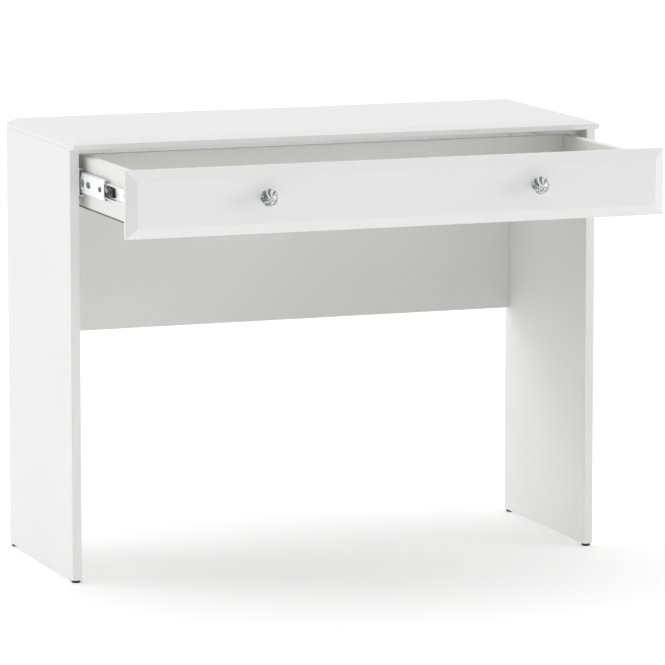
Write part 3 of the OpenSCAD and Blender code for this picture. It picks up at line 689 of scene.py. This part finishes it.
def rail(name, node, side, body, corners, radii, slots):
    """A rail from the corners (distance across the slide, height) of its middle line, in mm, with (y, length, height) slots."""
    path = rounded_path(np.array(corners) * MM, np.array(radii) * MM)
    outline = strip_outline(path, STEEL)
    outline[:, 0] = slide_x(side, outline[:, 0])
    outline[:, 1] += SLIDE_Z
    low, high = box(node)
    made = piece(name, [along_y(outline, low[1], high[1])])
    web_x = slide_x(side, corners[len(corners) // 2][0] * MM)
    cutters = [slot_cutter((web_x, low[1] + y * MM, SLIDE_Z), a * MM, b * MM, 3 * MM) for y, a, b in slots]
    punch(made, cutters)
    return hang(made, body, "bright_zinc", BRIGHT_ZINC, node)


RAIL_LENGTH = (box("left_cabinet_rail")[1][1] - box("left_cabinet_rail")[0][1]) / MM
CABINET_TOP, MIDDLE_TOP, DRAWER_TOP = (
    (box(node)[1][2] - SLIDE_Z) / MM for node in ("left_cabinet_rail", "left_middle_rail", "left_drawer_rail")
)
BAND = MIDDLE_TOP - 5.5
for side in ("left", "right"):
    outer, centre, inner = CABINET_TOP - 0.6, MIDDLE_TOP - 0.6, DRAWER_TOP - 0.6
    rail(
        f"{side}_outer_rail", f"{side}_cabinet_rail", side, "carcass",
        [(8.9, outer - 1.5), (8.9, outer), (0.6, outer), (0.6, -outer), (8.9, -outer), (8.9, 1.5 - outer)],
        [0.9, 1.7, 1.7, 0.9],
        [(25, 3.7, 3.6), (60, 16, 6), (120, 3.7, 3.6), (180, 16, 6), (RAIL_LENGTH - 28, 3.7, 3.6)],
    )
    rail(
        f"{side}_centre_rail", f"{side}_middle_rail", side, f"{side}_middle",
        [
            (10, centre), (3.9, centre), (3.9, BAND), (3.2, BAND - 1.2), (3.2, 1.2 - BAND), (3.9, -BAND),
            (3.9, -centre), (10, -centre),
        ],
        [1.6, 0.8, 0.8, 0.8, 0.8, 1.6],
        [(22, 16, 9), (84, 23, 10.5), (114, 15, 14), (RAIL_LENGTH - 60, 20, 8)],
    )
    rail(
        f"{side}_inner_rail", f"{side}_drawer_rail", side, "drawer",
        [(5.6, inner), (12.1, inner), (12.1, -inner), (5.6, -inner)],
        [1.6, 1.6],
        [(35, 3.8, 3.7), (72, 12, 5), (104, 3.8, 3.7), (130, 4.3, 4.2), (196, 12, 5), (232, 12, 5), (RAIL_LENGTH - 35, 3.8, 3.7)],
    )
print("six rails,", RAIL_LENGTH, "mm long")

# %% [markdown]
# ## Turned parts
#
# Balls, knobs, screws, feet and caps are all turned: a profile of (radius, height) pairs carried
# round an axis. A wave over the angle gives the flutes of a dowel, and a ridge whose height
# grows with the angle is a thread.


# %% Turning
def axes_along(direction):
    """Two unit vectors square to a direction and to each other, then the direction itself."""
    d = np.asarray(direction, float)
    d = d / np.linalg.norm(d)
    helper = np.array([0, 0, 1.0]) if abs(d[2]) < 0.9 else np.array([1.0, 0, 0])
    u = np.cross(helper, d)
    u /= np.linalg.norm(u)
    return np.stack([u, np.cross(d, u), d])


def turned(profile, origin, direction, sides=32, wave=None):
    """Rings of a turned shape: point (i, j) is origin + radius_i (cos t_j u + sin t_j v) + height_i direction.

    wave(angle, height) scales the radius, for flutes and threads.
    """
    profile = np.asarray(profile, float)
    t = np.linspace(0, 2 * np.pi, sides, endpoint=False)
    radius = np.repeat(profile[:, :1], sides, 1)
    height = np.repeat(profile[:, 1:2], sides, 1)
    if wave is not None:
        radius = radius * wave(t[None, :], height)
    u, v, d = axes_along(direction)
    flat = (radius * np.cos(t))[..., None] * u + (radius * np.sin(t))[..., None] * v
    return np.asarray(origin, float) + flat + height[..., None] * d


def threaded(core, crest, pitch, start, end, tip=0.0, per_turn=6):
    """Profile and wave of a thread: the radius is the core's plus a ridge where height / pitch - angle / 2 pi is whole."""
    count = int(round((end - start) / pitch * per_turn)) + 1
    height = np.linspace(start, end, count)
    fade = np.clip(np.minimum(height - start, (end - height)) / pitch, 0, 1)
    taper = 1 - (1 - np.clip((end - height) / max(tip, 1e-9), 0, 1)) * 0.85 if tip else np.ones(count)
    profile = np.c_[core * taper, height]

    def wave(angle, at):
        phase = (at / pitch - angle / (2 * np.pi)) % 1.0
        ridge = np.clip(1 - np.abs(phase - 0.5) * 4, 0, 1)
        return 1 + (crest / core - 1) * ridge * fade[:, None]

    return profile, wave


# %% Balls
def ball_rings(center, radius, rows=11, sides=18):
    """A sphere as a turned half circle, from pole to pole."""
    t = np.linspace(-np.pi / 2, np.pi / 2, rows)
    return turned(np.c_[radius * np.cos(t), radius * np.sin(t)], center, (0, 1, 0), sides)


def ball_cage(side, layer, solids, windows):
    """The strip that spaces two rows of balls: a channel with a round hole at each ball and windows in its web."""
    node = f"{side}_{layer}_cage"
    low, high = box(node)
    web, lip = (low[0], high[0]) if side == "left" else (high[0], low[0])
    inward = 1 if side == "left" else -1
    half = (high[2] - low[2]) / 2 - 0.3 * MM
    x = web + inward * 0.3 * MM
    path = rounded_path([(lip, half), (x, half), (x, -half), (lip, -half)], 0.9 * MM)
    outline = strip_outline(path, 0.6 * MM) + [0, SLIDE_Z]
    made = piece(f"{side}_{layer}_ball_cage", [along_y(outline, low[1], high[1])])
    upper = solids[solids.mean(1)[:, 2] > SLIDE_Z].mean(1)
    radius = 1.65 * MM
    holes = [
        turned([[radius, -2 * half - 6 * MM], [radius, 4 * MM]], (c[0], c[1], c[2]), (0, 0, 1), 16) for c in upper
    ]
    cutters = [piece("cutter", holes, weighted=False)]
    cutters += [slot_cutter((x, low[1] + y * MM, SLIDE_Z), a * MM, b * MM, 1 * MM) for y, a, b in windows]
    punch(made, cutters)
    return hang(made, f"{side}_{layer}_balls_and_cage", "cage_steel", CAGE_STEEL, node)


CAGE_WINDOWS = {"inner": [(6, 62, 20), (83, 26, 20)], "outer": [(26, 38, 26), (74, 38, 26)]}
for side in ("left", "right"):
    for layer in ("outer", "inner"):
        node = f"{side}_{layer}_balls"
        solids = separate_solids(node)
        radius = (solids[:, 1] - solids[:, 0]).max() / 2
        made = piece(f"{side}_{layer}_bearing_balls", [ball_rings(s.mean(0), radius) for s in solids], weighted=False)
        hang(made, f"{side}_{layer}_balls_and_cage", "ball_steel", BALL_STEEL, node)
        ball_cage(side, layer, solids, CAGE_WINDOWS[layer])
print("balls of", round(radius * 2 / MM, 2), "mm")

# %% [markdown]
# The release lever is a flat moulding in black plastic. It turns on a rivet between the flanges
# of the drawer rail; its front end is a finger tab that drops toward the lower flange.


# %% Release levers
def flat_moulding(outline, low_x, high_x, arris):
    """A plate in the (y, z) plane with rounded arrises: the outline shrinks toward its middle near both faces."""
    t = np.linspace(0, np.pi / 2, 4)
    inset = np.r_[arris * (1 - np.sin(t)), (arris * (1 - np.sin(t)))[::-1]]
    x = np.r_[low_x + arris * (1 - np.cos(t)), high_x - (arris * (1 - np.cos(t)))[::-1]]
    legs = np.roll(outline, -1, 0) - np.roll(outline, 1, 0)
    legs /= np.linalg.norm(legs, axis=1, keepdims=True)
    inward = np.c_[-legs[:, 1], legs[:, 0]]
    rings = np.empty((len(x), len(outline), 3))
    rings[..., 0] = x[:, None]
    rings[..., 1:] = outline + inset[:, None, None] * inward
    return rings


LEVER_CORNERS = np.array([
    (-14, 8.4), (0, 8.0), (8, 6.4), (9.2, 2), (9.8, -2.5), (14, -8.4), (-14, -8.4),
    (-21, -6.8), (-21, -3.4), (-15, -3.0), (-15, 3.0), (-21, 3.4), (-21, 6.8),
])
for side in ("left", "right"):
    low, high = box(f"{side}_release_lever")
    middle = (low + high) / 2
    closed = np.concatenate([LEVER_CORNERS[-1:], LEVER_CORNERS, LEVER_CORNERS[:1]]) * MM
    closed = rounded_path(closed, np.full(len(LEVER_CORNERS), 0.9 * MM), 3)[1:-1]
    outline = np.c_[-closed[:, 0] + middle[1], closed[:, 1] + middle[2]]
    made = piece(f"{side}_lever", [flat_moulding(outline, low[0], high[0], 0.5 * MM)])
    punch(made, [slot_cutter(middle, 4.11 * MM, 4.1 * MM, 4 * MM)])
    hang(made, f"{side}_lever", "black_plastic", BLACK_PLASTIC, f"{side}_release_lever")
print("levers", np.round((high - low) / MM, 1), "mm")

# %% [markdown]
# ## Knobs
#
# Each knob is a cut crystal ball on a small turned base. The facets are what makes it sparkle:
# rings of points on a sphere, every other ring turned by half a step, joined by flat triangles.


# %% Knobs
def cut_ball(name, center, radius, direction, seat, rings=9, sides=14):
    """A ball of flat triangles: ring i lies at its own latitude, and odd rings are turned by half a step.

    Every other point of the net is sunk by a sixteenth of the radius, so that neighbouring
    facets lean opposite ways and catch different light. The ball ends in a flat seat.
    """
    first = np.arcsin(seat / radius)
    latitude = np.linspace(first, np.radians(82), rings)
    t = (np.arange(sides)[None, :] + 0.5 * (np.arange(rings)[:, None] % 2)) * 2 * np.pi / sides
    u, v, d = axes_along(direction)
    sunk = radius * (1 - ((np.arange(sides)[None, :] + np.arange(rings)[:, None] // 2) % 2) / 16)
    sunk[0] = radius
    across = sunk * np.cos(latitude)[:, None]
    points = (
        center
        + (across * np.cos(t))[..., None] * u
        + (across * np.sin(t))[..., None] * v
        + (sunk * np.sin(latitude)[:, None])[..., None] * d
    )
    i, j = np.meshgrid(np.arange(rings - 1), np.arange(sides), indexing="ij")
    k = (j + 1) % sides
    odd = i % 2 == 1
    a, b, c, e = i * sides + j, i * sides + k, (i + 1) * sides + j, (i + 1) * sides + k
    lower = np.where(odd[..., None], np.stack([a, b, e], -1), np.stack([a, b, c], -1))
    upper = np.where(odd[..., None], np.stack([a, e, c], -1), np.stack([b, e, c], -1))
    faces = np.concatenate([lower.reshape(-1, 3), upper.reshape(-1, 3)]).tolist()
    faces += [list(range(sides - 1, -1, -1)), list(range((rings - 1) * sides, rings * sides))]
    mesh = bpy.data.meshes.new(name)
    mesh.from_pydata(points.reshape(-1, 3).tolist(), [], faces)
    tidy = bmesh.new()
    tidy.from_mesh(mesh)
    bmesh.ops.recalc_face_normals(tidy, faces=tidy.faces)
    tidy.to_mesh(mesh)
    tidy.free()
    made = bpy.data.objects.new(name, mesh)
    bpy.context.collection.objects.link(made)
    shade(made, flat=True)
    return made


KNOB_OUT = (0, -1, 0)
for side in ("left", "right"):
    base_low, base_high = box(f"{side}_knob_base")
    ball_low, ball_high = box(f"{side}_knob_crystal")
    axis_x, axis_z = ((base_low + base_high) / 2)[[0, 2]]
    foot = np.array([axis_x, base_high[1], axis_z])
    length = base_high[1] - base_low[1]
    radius = 15 * MM
    center = np.array([axis_x, base_low[1] - 0.45 * radius * 2, axis_z])
    made = cut_ball(f"{side}_knob_ball", center, radius, KNOB_OUT, -(0.45 * radius * 2))
    hang(made, "drawer", "crystal", CRYSTAL, f"{side}_knob_crystal")
    profile = rounded_path(
        [(2.1, 0), (7.5, 0), (7.5, 1.7), (6.6, 2.2), (4.3, 4.2), (4.2, 6.0), (6.2, 8.0), (6.2, 9.5), (2.1, 9.5)],
        [0.3, 0.5, 0.6, 0.8, 0.7, 0.6, 0.3],
    )
    stem = piece(f"{side}_knob_stem", [turned(profile * MM, foot, KNOB_OUT, 64)])
    hang(stem, "drawer", "chrome", CHROME, f"{side}_knob_base")
print("knob balls of", round(radius * 2 / MM, 1), "mm on bases", round(length / MM, 1), "mm long")

# %% [markdown]
# ## Feet, caps, pads, dowels, nails and screws
#
# These small parts are easy to skip and worth having: the feet show under the panels, the caps
# hide the cam locks, and the screws and dowels are what a reader who takes the desk apart finds.


# %% Feet, caps and pads
def cap_profile(radius, height, arris, dish=0.0):
    """A disc with a rounded rim and, if asked, a slight hollow in its face."""
    t = np.linspace(0, np.pi / 2, 5)
    rim = np.c_[radius - arris + arris * np.cos(t), height - arris + arris * np.sin(t)]
    face = np.array([[radius * 0.55, height - dish * 0.9], [0, height - dish]])
    return np.r_[[[0, 0], [radius, 0]], rim, face]


for node, name in (
    ("front_left_glide", "front_left_foot"),
    ("front_right_glide", "front_right_foot"),
    ("back_left_glide", "back_left_foot"),
    ("back_right_glide", "back_right_foot"),
):
    low, high = box(node)
    axis = np.array([*((low + high) / 2)[:2], high[2]])
    r, h = (high[0] - low[0]) / 2, high[2] - low[2]
    profile = rounded_path(
        [(0, 0), (r, 0), (r, h), (3.6 * MM, h), (3.1 * MM, h / 2), (0, h / 2)], np.array([0.3, 1.2, 0.4, 0.2]) * MM
    )
    made = piece(name, [turned(profile, axis, (0, 0, -1), 48)], weighted=False)
    hang(made, "carcass", "black_plastic", BLACK_PLASTIC, node)


def outward(solid):
    """The way a small flat part faces: along its thin axis, away from the board it sits on."""
    size = solid[1] - solid[0]
    thin = int(np.argmin(size))
    direction = np.zeros(3)
    middle = solid.mean(0)
    direction[thin] = 1.0 if thin == 1 else -np.sign(middle[0])
    return thin, direction


caps = []
for solid in separate_solids("cam_covers"):
    thin, direction = outward(solid)
    size = solid[1] - solid[0]
    base = solid.mean(0) - direction * size[thin] / 2
    caps.append(turned(cap_profile(size.max() / 2, size[thin], 0.35 * MM, 0.15 * MM), base, direction, 40))
made = piece("cam_caps", caps, weighted=False)
hang(made, "carcass", "white_plastic", WHITE_PLASTIC, "cam_covers")

pads = []
for solid in separate_solids("bumper_pads"):
    size = solid[1] - solid[0]
    base = np.array([solid.mean(0)[0], solid[0][1], solid.mean(0)[2]])
    pads.append(turned(cap_profile(size[0] / 2, size[1], 0.8 * MM), base, (0, 1, 0), 32))
made = piece("door_pads", pads, weighted=False)
hang(made, "drawer", "white_plastic", WHITE_PLASTIC, "bumper_pads")
print(len(caps), "caps and", len(pads), "pads")


# %% Dowels and nails
def fluted(angle, height):
    """Sixteen straight flutes round a dowel."""
    return 1 - 0.045 * (0.5 - 0.5 * np.cos(16 * angle))


def long_axis(solid):
    """The index of a solid's longest side."""
    return int(np.argmax(solid[1] - solid[0]))


def dowel_rings(solid):
    """A fluted dowel with chamfered ends, between the ends of a solid."""
    k = long_axis(solid)
    size = solid[1] - solid[0]
    radius = np.delete(size, k).min() / 2
    start, direction = solid.mean(0), np.eye(3)[k]
    start[k] = solid[0][k]
    length = size[k]
    profile = [[0, 0], [radius - 1.2 * MM, 0], [radius, 1.2 * MM], [radius, length - 1.2 * MM], [radius - 1.2 * MM, length], [0, length]]
    return turned(profile, start, direction, 96, fluted)


for name, node, body in (("dowels", "wooden_dowels", "carcass"), ("drawer_front_dowels", "drawer_dowels", "drawer")):
    made = piece(name, [dowel_rings(s) for s in separate_solids(node)], smooth_below=60, weighted=False)
    hang(made, body, "beech", BEECH, node)


def nail_rings(solid, shank, head, head_height):
    """A nail that points up: a flat head, a shank and a point drawn to nothing."""
    length = solid[1][2] - solid[0][2]
    start = np.array([*solid.mean(0)[:2], solid[0][2]])
    profile = rounded_path(
        [(0, 0), (head, 0), (head, head_height), (shank, head_height), (shank, length - 3 * shank), (0, length)],
        [head_height * 0.3, head_height * 0.4, head_height * 0.3, shank * 0.2],
    )
    return turned(profile, start, (0, 0, 1), 20)


made = piece("bottom_nails", [nail_rings(s, 0.8 * MM, 2.5 * MM, 0.7 * MM) for s in separate_solids("drawer_bottom_nails")], weighted=False)
hang(made, "drawer", "zinc_fastener", SCREW_ZINC, "drawer_bottom_nails")
made = piece("foot_nails", [nail_rings(s, 1.2 * MM, 3.0 * MM, 1.0 * MM) for s in separate_solids("glide_nails")], weighted=False)
hang(made, "carcass", "zinc_fastener", SCREW_ZINC, "glide_nails")


# %% Screws
def screw(head_at, direction, head, core, crest, pitch, length, pan=True):
    """A screw from its head's face: a head, then a threaded shank that ends in a point."""
    t = np.linspace(0, np.pi / 2, 5)
    radius, height = head
    if pan:
        crown = np.c_[radius * np.sin(t), height * (1 - np.cos(t)) * 0.8][:-1]
        crown = np.r_[crown, [[radius, height * 0.8], [radius, height]]]
    else:
        crown = np.array([[0, 0], [radius, 0], [radius, height * 0.2], [core, height]])
    profile, wave = threaded(core, crest, pitch, height, length, tip=2.5 * core)
    full = np.r_[crown, profile, [[0, length + core * 0.4]]]

    def whole(angle, at):
        scale = np.ones((len(full), angle.shape[1]))
        scale[len(crown) : len(crown) + len(profile)] = wave(angle, profile[:, 1:2])
        return scale

    return turned(full, head_at, direction, 24, whole)


def cross_cutter(at, direction, reach, width, depth):
    """Two crossed tapered bars: the recess that a cross-point driver fits."""
    u, v, d = axes_along(direction)
    stacks = []
    for long, short in ((u, v), (v, u)):
        corners = np.array([[1, 1], [-1, 1], [-1, -1], [1, -1]], float)
        scale = np.array([[reach * 1.05, width], [reach * 0.35, width * 0.6]])
        flat = corners[None] * scale[:, None]
        height = np.array([-0.3 * MM, depth])
        stacks.append(at + flat[..., :1] * long + flat[..., 1:] * short + height[:, None, None] * d)
    return [piece("cutter", [s], weighted=False) for s in stacks]


def screws(name, node, body, driving, head, core, crest, pitch, pan=True):
    """All screws of a part of the frame, each driven along driving(solid) from the outer end of its head."""
    stacks, recesses = [], []
    for solid in separate_solids(node):
        direction = np.asarray(driving(solid), float)
        k = int(np.argmax(np.abs(direction)))
        start = solid.mean(0)
        start[k] = solid[0][k] if direction[k] > 0 else solid[1][k]
        length = solid[1][k] - solid[0][k]
        stacks.append(screw(start, direction, head, core, crest, pitch, length - core * 0.4, pan))
        recesses.append(cross_cutter(start, direction, head[0] * 0.55, head[0] * 0.13, head[1] * 0.8))
    made = piece(name, stacks, weighted=False)
    for group in range(2):
        bars = [r[group] for r in recesses]
        punch(made, bars)
    made.modifiers.clear()
    return hang(made, body, "zinc_fastener", SCREW_ZINC, node)


def into_panel(solid):
    return (np.sign(solid.mean(0)[0]), 0, 0)


def into_drawer(solid):
    return (-np.sign(solid.mean(0)[0]), 0, 0)


screws("cabinet_rail_fixings", "cabinet_rail_screws", "carcass", into_panel, (3.3 * MM, 0.8 * MM), 1.2 * MM, 1.75 * MM, 1.3 * MM)
screws("drawer_rail_fixings", "drawer_rail_screws", "drawer", into_drawer, (3.3 * MM, 1.4 * MM), 1.2 * MM, 1.75 * MM, 1.3 * MM)
screws("back_wall_screws", "drawer_back_screws", "drawer", into_drawer, (4.5 * MM, 3.0 * MM), 1.8 * MM, 2.5 * MM, 2.5 * MM, False)
screws("knob_fixings", "knob_screws", "drawer", lambda s: (0, -1, 0), (4.0 * MM, 2.5 * MM), 1.7 * MM, 2.0 * MM, 0.7 * MM)

for node in ("cam_bolts", "drawer_cam_bolts"):
    dress(node, SCREW_ZINC)
for node in ("cam_locks", "drawer_cam_locks"):
    dress(node, CAST_ZINC)
dress("lever_rivets", BLACK_OXIDE)

# %% [markdown]
# ## Drillings
#
# A flat-pack board is mostly its drillings: pockets for the cam locks, deep holes in the edges
# for bolts and dowels, pilot holes for screws. Each hole follows the fitting that goes into it,
# so the boards are cut last, by cylinders that stand where the fittings are.

# %% Drill the boards
FITTINGS = {  # part of the frame: (does its cylinder stand along its thin side, radius of its hole or None)
    "cam_locks": (True, None),
    "drawer_cam_locks": (True, None),
    "cam_bolts": (False, None),
    "drawer_cam_bolts": (False, None),
    "wooden_dowels": (False, None),
    "drawer_dowels": (False, None),
    "cabinet_rail_screws": (False, 1.25 * MM),
    "drawer_rail_screws": (False, 1.25 * MM),
    "drawer_back_screws": (False, 1.9 * MM),
    "knob_screws": (False, 2.1 * MM),
    "drawer_bottom_nails": (False, 0.85 * MM),
    "glide_nails": (False, 1.25 * MM),
}
SOLIDS = {node: separate_solids(node) for node in FITTINGS}


def hole_cutters(corners):
    """Cylinders, one cutter for each kind of fitting, that stand where fittings reach into a board.

    A cylinder ends 0.2 mm past its fitting, or 1 mm outside the board where the fitting ends
    within 2.5 mm of a face.
    """
    cutters = []
    for node, (thin, radius) in FITTINGS.items():
        stacks = []
        for low, high in SOLIDS[node]:
            if (np.minimum(high, corners[1]) - np.maximum(low, corners[0])).min() < 0.3 * MM:
                continue
            size = high - low
            k = int(np.argmin(size) if thin else np.argmax(size))
            r = radius or np.delete(size, k).max() / 2 + 0.05 * MM
            start, end = low[k] - 0.2 * MM, high[k] + 0.2 * MM
            if abs(low[k] - corners[0][k]) < 2.5 * MM:
                start = corners[0][k] - MM
            if abs(high[k] - corners[1][k]) < 2.5 * MM:
                end = corners[1][k] + MM
            origin = (low + high) / 2
            origin[k] = 0
            stacks.append(turned([[r, start], [r, end]], origin, np.eye(3)[k], 20))
        if stacks:
            cutters.append(piece("cutter", stacks, weighted=False))
    return cutters


for made, node in (
    (left_side, "left_side_panel"),
    (right_side, "right_side_panel"),
    (back_panel, "modesty_panel"),
    (worktop, "top_panel"),
    (drawer_face, "drawer_front"),
    (drawer_walls[0], "drawer_left_side"),
    (drawer_walls[1], "drawer_right_side"),
    (drawer_walls[2], "drawer_back"),
    (drawer_bottom_sheet, "drawer_bottom"),
):
    cutters = hole_cutters(box(node))
    before = len(made.data.polygons)
    punch(made, cutters)
    print(made.name, "is cut by", len(cutters), "kinds of drill; faces", before, "->", len(made.data.polygons))
